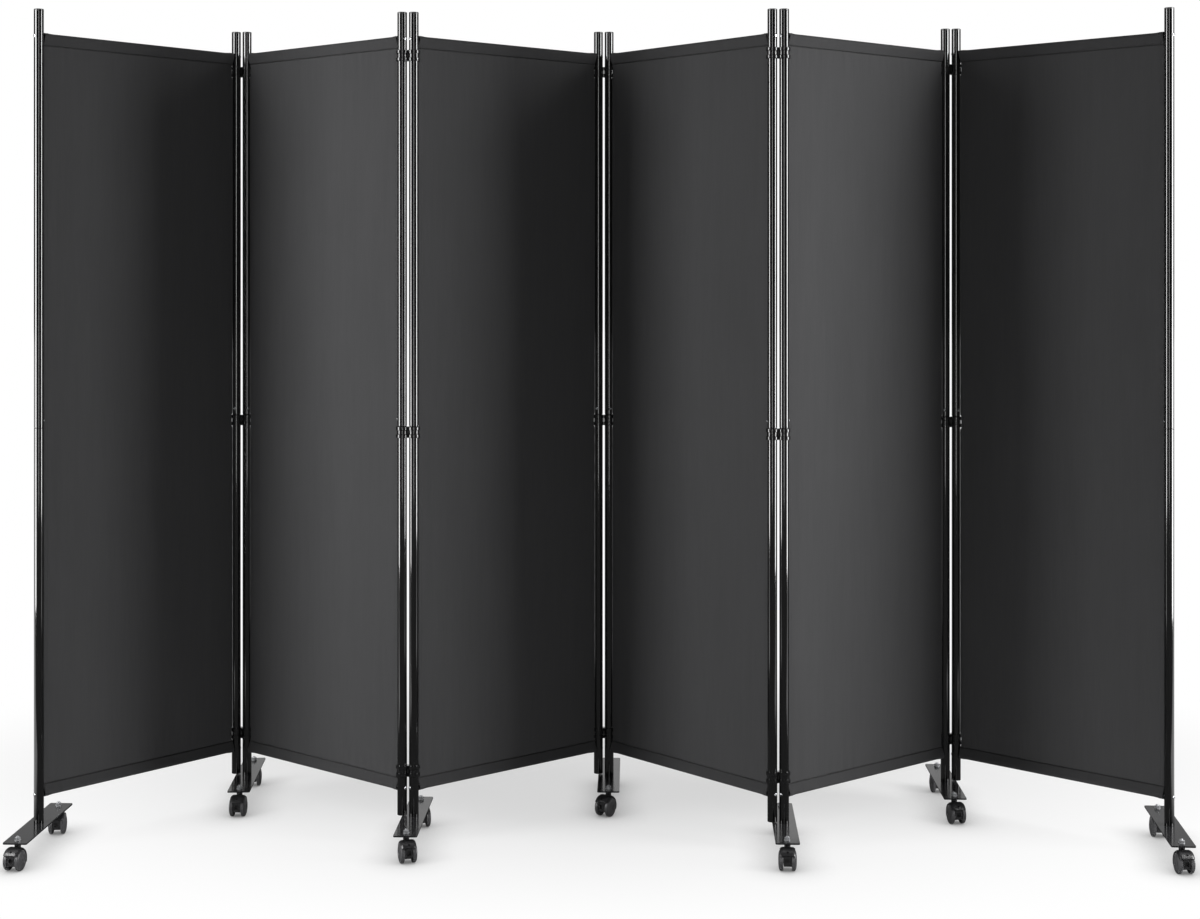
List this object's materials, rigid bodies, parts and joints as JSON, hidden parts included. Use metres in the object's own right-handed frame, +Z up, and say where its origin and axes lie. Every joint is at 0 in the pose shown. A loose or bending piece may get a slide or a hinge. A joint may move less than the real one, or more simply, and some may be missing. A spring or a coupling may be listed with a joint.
{
  "type": "rolling room divider",
  "caption": "Folding zigzag screen of charcoal fabric panels between round black posts, clipped together and carried on flat bases with twin-wheel casters.",
  "frame": {"origin": "on the floor, below the middle of the corner between panels 3 and 4", "axes": "+X along the line of the screen to the viewer's right, +Y to the back of the screen, +Z up"},
  "size_m": [2.3686, 0.7051, 1.715],
  "materials": {
    "cloth": "woven charcoal cloth, matt with a soft sheen",
    "post_paint": "gloss black powder coat",
    "zinc": "bright zinc plate",
    "clip_plastic": "black moulded plastic, satin gloss",
    "base_paint": "gloss black paint on flat steel",
    "caster_housing": "black nylon, satin",
    "caster_wheel": "dark grey nylon, satin"
  },
  "bodies": {
    "panel_1": {"panel_1_fabric": "cloth", "panel_1_posts": "post_paint", "panel_1_rods_and_screws": "zinc"},
    "panel_2": {"panel_2_fabric": "cloth", "panel_2_posts": "post_paint", "panel_2_rods_and_screws": "zinc"},
    "panel_3": {"panel_3_fabric": "cloth", "panel_3_posts": "post_paint", "panel_3_rods_and_screws": "zinc"},
    "panel_4": {"panel_4_fabric": "cloth", "panel_4_posts": "post_paint", "panel_4_rods_and_screws": "zinc"},
    "panel_5": {"panel_5_fabric": "cloth", "panel_5_posts": "post_paint", "panel_5_rods_and_screws": "zinc"},
    "panel_6": {"panel_6_fabric": "cloth", "panel_6_posts": "post_paint", "panel_6_rods_and_screws": "zinc"},
    "clips_1_2": {"clips_1_2": "clip_plastic"},
    "clips_2_3": {"clips_2_3": "clip_plastic"},
    "clips_3_4": {"clips_3_4": "clip_plastic"},
    "clips_4_5": {"clips_4_5": "clip_plastic"},
    "clips_5_6": {"clips_5_6": "clip_plastic"},
    "base_1": {"base_1": "base_paint"},
    "base_2": {"base_2": "base_paint"},
    "base_3": {"base_3": "base_paint"},
    "base_4": {"base_4": "base_paint"},
    "base_5": {"base_5": "base_paint"},
    "base_6": {"base_6": "base_paint"},
    "base_7": {"base_7": "base_paint"},
    "caster_1_front": {"caster_1_front_housing": "caster_housing"},
    "caster_1_front_wheels": {"caster_1_front_wheels": "caster_wheel"},
    "caster_1_rear": {"caster_1_rear_housing": "caster_housing"},
    "caster_1_rear_wheels": {"caster_1_rear_wheels": "caster_wheel"},
    "caster_2_front": {"caster_2_front_housing": "caster_housing"},
    "caster_2_front_wheels": {"caster_2_front_wheels": "caster_wheel"},
    "caster_2_rear": {"caster_2_rear_housing": "caster_housing"},
    "caster_2_rear_wheels": {"caster_2_rear_wheels": "caster_wheel"},
    "caster_3_front": {"caster_3_front_housing": "caster_housing"},
    "caster_3_front_wheels": {"caster_3_front_wheels": "caster_wheel"},
    "caster_3_rear": {"caster_3_rear_housing": "caster_housing"},
    "caster_3_rear_wheels": {"caster_3_rear_wheels": "caster_wheel"},
    "caster_4_front": {"caster_4_front_housing": "caster_housing"},
    "caster_4_front_wheels": {"caster_4_front_wheels": "caster_wheel"},
    "caster_4_rear": {"caster_4_rear_housing": "caster_housing"},
    "caster_4_rear_wheels": {"caster_4_rear_wheels": "caster_wheel"},
    "caster_5_front": {"caster_5_front_housing": "caster_housing"},
    "caster_5_front_wheels": {"caster_5_front_wheels": "caster_wheel"},
    "caster_5_rear": {"caster_5_rear_housing": "caster_housing"},
    "caster_5_rear_wheels": {"caster_5_rear_wheels": "caster_wheel"},
    "caster_6_front": {"caster_6_front_housing": "caster_housing"},
    "caster_6_front_wheels": {"caster_6_front_wheels": "caster_wheel"},
    "caster_6_rear": {"caster_6_rear_housing": "caster_housing"},
    "caster_6_rear_wheels": {"caster_6_rear_wheels": "caster_wheel"},
    "caster_7_front": {"caster_7_front_housing": "caster_housing"},
    "caster_7_front_wheels": {"caster_7_front_wheels": "caster_wheel"},
    "caster_7_rear": {"caster_7_rear_housing": "caster_housing"},
    "caster_7_rear_wheels": {"caster_7_rear_wheels": "caster_wheel"}
  },
  "joints": [
    {"name": "clips_3_4_on_panel_3", "type": "hinge", "parent": "panel_3", "child": "clips_3_4", "pos_m": [-0.012, 0, 0.9], "axis": [0, 0, -1], "range_deg": [-129, 47]},
    {"name": "panel_4_in_clips_3_4", "type": "hinge", "parent": "clips_3_4", "child": "panel_4", "pos_m": [0.012, 0, 0.9], "axis": [0, 0, -1], "range_deg": [-137, 39]},
    {"name": "clips_4_5_on_panel_4", "type": "hinge", "parent": "panel_4", "child": "clips_4_5", "pos_m": [0.34331, -0.38113, 0.9], "axis": [0, 0, 1], "range_deg": [-137, 39]},
    {"name": "panel_5_in_clips_4_5", "type": "hinge", "parent": "clips_4_5", "child": "panel_5", "pos_m": [0.36731, -0.38113, 0.9], "axis": [0, 0, 1], "range_deg": [-128, 48]},
    {"name": "clips_5_6_on_panel_5", "type": "hinge", "parent": "panel_5", "child": "clips_5_6", "pos_m": [0.75416, -0.05652, 0.9], "axis": [0, 0, -1], "range_deg": [-128, 48]},
    {"name": "panel_6_in_clips_5_6", "type": "hinge", "parent": "clips_5_6", "child": "panel_6", "pos_m": [0.77816, -0.05652, 0.9], "axis": [0, 0, -1], "range_deg": [-131, 45]},
    {"name": "clips_2_3_on_panel_3", "type": "hinge", "parent": "panel_3", "child": "clips_2_3", "pos_m": [-0.39313, -0.33131, 0.9], "axis": [0, 0, -1], "range_deg": [-129, 47]},
    {"name": "panel_2_in_clips_2_3", "type": "hinge", "parent": "clips_2_3", "child": "panel_2", "pos_m": [-0.41713, -0.33131, 0.9], "axis": [0, 0, -1], "range_deg": [-129, 47]},
    {"name": "clips_1_2_on_panel_2", "type": "hinge", "parent": "panel_2", "child": "clips_1_2", "pos_m": [-0.79826, 0, 0.9], "axis": [0, 0, 1], "range_deg": [-129, 47]},
    {"name": "panel_1_in_clips_1_2", "type": "hinge", "parent": "clips_1_2", "child": "panel_1", "pos_m": [-0.82226, 0, 0.9], "axis": [0, 0, 1], "range_deg": [-137, 39]},
    {"name": "base_1_pivot", "type": "hinge", "parent": "panel_1", "child": "base_1", "pos_m": [-1.15357, -0.38113, 0.0535], "axis": [0, 0, -1], "range_deg": [-141.5, 38.5]},
    {"name": "base_2_pivot", "type": "hinge", "parent": "panel_2", "child": "base_2", "pos_m": [-0.79826, 0, 0.0535], "axis": [0, 0, 1], "range_deg": [-130, 42]},
    {"name": "base_3_pivot", "type": "hinge", "parent": "panel_3", "child": "base_3", "pos_m": [-0.39313, -0.33131, 0.0535], "axis": [0, 0, -1], "range_deg": [-132.5, 47.5]},
    {"name": "base_4_pivot", "type": "hinge", "parent": "panel_4", "child": "base_4", "pos_m": [0.012, 0, 0.0535], "axis": [0, 0, 1], "range_deg": [-134, 38]},
    {"name": "base_5_pivot", "type": "hinge", "parent": "panel_5", "child": "base_5", "pos_m": [0.36731, -0.38113, 0.0535], "axis": [0, 0, -1], "range_deg": [-132.5, 47.5]},
    {"name": "base_6_pivot", "type": "hinge", "parent": "panel_5", "child": "base_6", "pos_m": [0.75416, -0.05652, 0.0535], "axis": [0, 0, -1], "range_deg": [-131.5, 48.5]},
    {"name": "base_7_pivot", "type": "hinge", "parent": "panel_6", "child": "base_7", "pos_m": [1.1475, -0.40093, 0.0535], "axis": [0, 0, 1], "range_deg": [-123.5, 48.5]},
    {"name": "caster_1_front_swivel", "type": "hinge", "parent": "base_1", "child": "caster_1_front", "pos_m": [-1.15902, -0.50601, 0.045], "axis": [0, 0, 1], "continuous": true},
    {"name": "caster_1_front_roll", "type": "hinge", "parent": "caster_1_front", "child": "caster_1_front_wheels", "pos_m": [-1.16128, -0.51881, 0.02], "axis": [-0.9848, 0.1736, 0], "continuous": true},
    {"name": "caster_1_rear_swivel", "type": "hinge", "parent": "base_1", "child": "caster_1_rear", "pos_m": [-1.14811, -0.25625, 0.045], "axis": [0, 0, 1], "continuous": true},
    {"name": "caster_1_rear_roll", "type": "hinge", "parent": "caster_1_rear", "child": "caster_1_rear_wheels", "pos_m": [-1.14675, -0.26918, 0.02], "axis": [-0.9945, -0.1045, 0], "continuous": true},
    {"name": "caster_2_front_swivel", "type": "hinge", "parent": "base_2", "child": "caster_2_front", "pos_m": [-0.79171, -0.12483, 0.045], "axis": [0, 0, 1], "continuous": true},
    {"name": "caster_2_front_roll", "type": "hinge", "parent": "caster_2_front", "child": "caster_2_front_wheels", "pos_m": [-0.79217, -0.13782, 0.02], "axis": [-0.9994, 0.0349, 0], "continuous": true},
    {"name": "caster_2_rear_swivel", "type": "hinge", "parent": "base_2", "child": "caster_2_rear", "pos_m": [-0.8048, 0.12483, 0.045], "axis": [0, 0, 1], "continuous": true},
    {"name": "caster_2_rear_roll", "type": "hinge", "parent": "caster_2_rear", "child": "caster_2_rear_wheels", "pos_m": [-0.80389, 0.11186, 0.02], "axis": [-0.9976, -0.0698, 0], "continuous": true},
    {"name": "caster_3_front_swivel", "type": "hinge", "parent": "base_3", "child": "caster_3_front", "pos_m": [-0.3964, -0.45627, 0.045], "axis": [0, 0, 1], "continuous": true},
    {"name": "caster_3_front_roll", "type": "hinge", "parent": "caster_3_front", "child": "caster_3_front_wheels", "pos_m": [-0.3926, -0.4687, 0.02], "axis": [-0.9563, -0.2924, 0], "continuous": true},
    {"name": "caster_3_rear_swivel", "type": "hinge", "parent": "base_3", "child": "caster_3_rear", "pos_m": [-0.38986, -0.20635, 0.045], "axis": [0, 0, 1], "continuous": true},
    {"name": "caster_3_rear_roll", "type": "hinge", "parent": "caster_3_rear", "child": "caster_3_rear_wheels", "pos_m": [-0.38671, -0.21897, 0.02], "axis": [-0.9703, -0.2419, 0], "continuous": true},
    {"name": "caster_4_front_swivel", "type": "hinge", "parent": "base_4", "child": "caster_4_front", "pos_m": [0.00982, -0.12498, 0.045], "axis": [0, 0, 1], "continuous": true},
    {"name": "caster_4_front_roll", "type": "hinge", "parent": "caster_4_front", "child": "caster_4_front_wheels", "pos_m": [0.00332, -0.13624, 0.02], "axis": [-0.866, 0.5, 0], "continuous": true},
    {"name": "caster_4_rear_swivel", "type": "hinge", "parent": "base_4", "child": "caster_4_rear", "pos_m": [0.01418, 0.12498, 0.045], "axis": [0, 0, 1], "continuous": true},
    {"name": "caster_4_rear_roll", "type": "hinge", "parent": "caster_4_rear", "child": "caster_4_rear_wheels", "pos_m": [0.01192, 0.11218, 0.02], "axis": [-0.9848, 0.1736, 0], "continuous": true},
    {"name": "caster_5_front_swivel", "type": "hinge", "parent": "base_5", "child": "caster_5_front", "pos_m": [0.36186, -0.50601, 0.045], "axis": [0, 0, 1], "continuous": true},
    {"name": "caster_5_front_roll", "type": "hinge", "parent": "caster_5_front", "child": "caster_5_front_wheels", "pos_m": [0.36095, -0.51898, 0.02], "axis": [-0.9976, 0.0698, 0], "continuous": true},
    {"name": "caster_5_rear_swivel", "type": "hinge", "parent": "base_5", "child": "caster_5_rear", "pos_m": [0.37276, -0.25625, 0.045], "axis": [0, 0, 1], "continuous": true},
    {"name": "caster_5_rear_roll", "type": "hinge", "parent": "caster_5_rear", "child": "caster_5_rear_wheels", "pos_m": [0.37276, -0.26925, 0.02], "axis": [-1, 0, 0], "continuous": true},
    {"name": "caster_6_front_swivel", "type": "hinge", "parent": "base_6", "child": "caster_6_front", "pos_m": [0.75089, -0.18148, 0.045], "axis": [0, 0, 1], "continuous": true},
    {"name": "caster_6_front_roll", "type": "hinge", "parent": "caster_6_front", "child": "caster_6_front_wheels", "pos_m": [0.75292, -0.19432, 0.02], "axis": [-0.9877, -0.1564, 0], "continuous": true},
    {"name": "caster_6_rear_swivel", "type": "hinge", "parent": "base_6", "child": "caster_6_rear", "pos_m": [0.75743, 0.06844, 0.045], "axis": [0, 0, 1], "continuous": true},
    {"name": "caster_6_rear_roll", "type": "hinge", "parent": "caster_6_rear", "child": "caster_6_rear_wheels", "pos_m": [0.75789, 0.05544, 0.02], "axis": [-0.9994, -0.0349, 0], "continuous": true},
    {"name": "caster_7_front_swivel", "type": "hinge", "parent": "base_7", "child": "caster_7_front", "pos_m": [1.13552, -0.52535, 0.045], "axis": [0, 0, 1], "continuous": true},
    {"name": "caster_7_front_roll", "type": "hinge", "parent": "caster_7_front", "child": "caster_7_front_wheels", "pos_m": [1.1362, -0.53834, 0.02], "axis": [-0.9986, -0.0523, 0], "continuous": true},
    {"name": "caster_7_rear_swivel", "type": "hinge", "parent": "base_7", "child": "caster_7_rear", "pos_m": [1.15948, -0.27651, 0.045], "axis": [0, 0, 1], "continuous": true},
    {"name": "caster_7_rear_roll", "type": "hinge", "parent": "caster_7_rear", "child": "caster_7_rear_wheels", "pos_m": [1.15857, -0.28947, 0.02], "axis": [-0.9976, 0.0698, 0], "continuous": true}
  ]
}
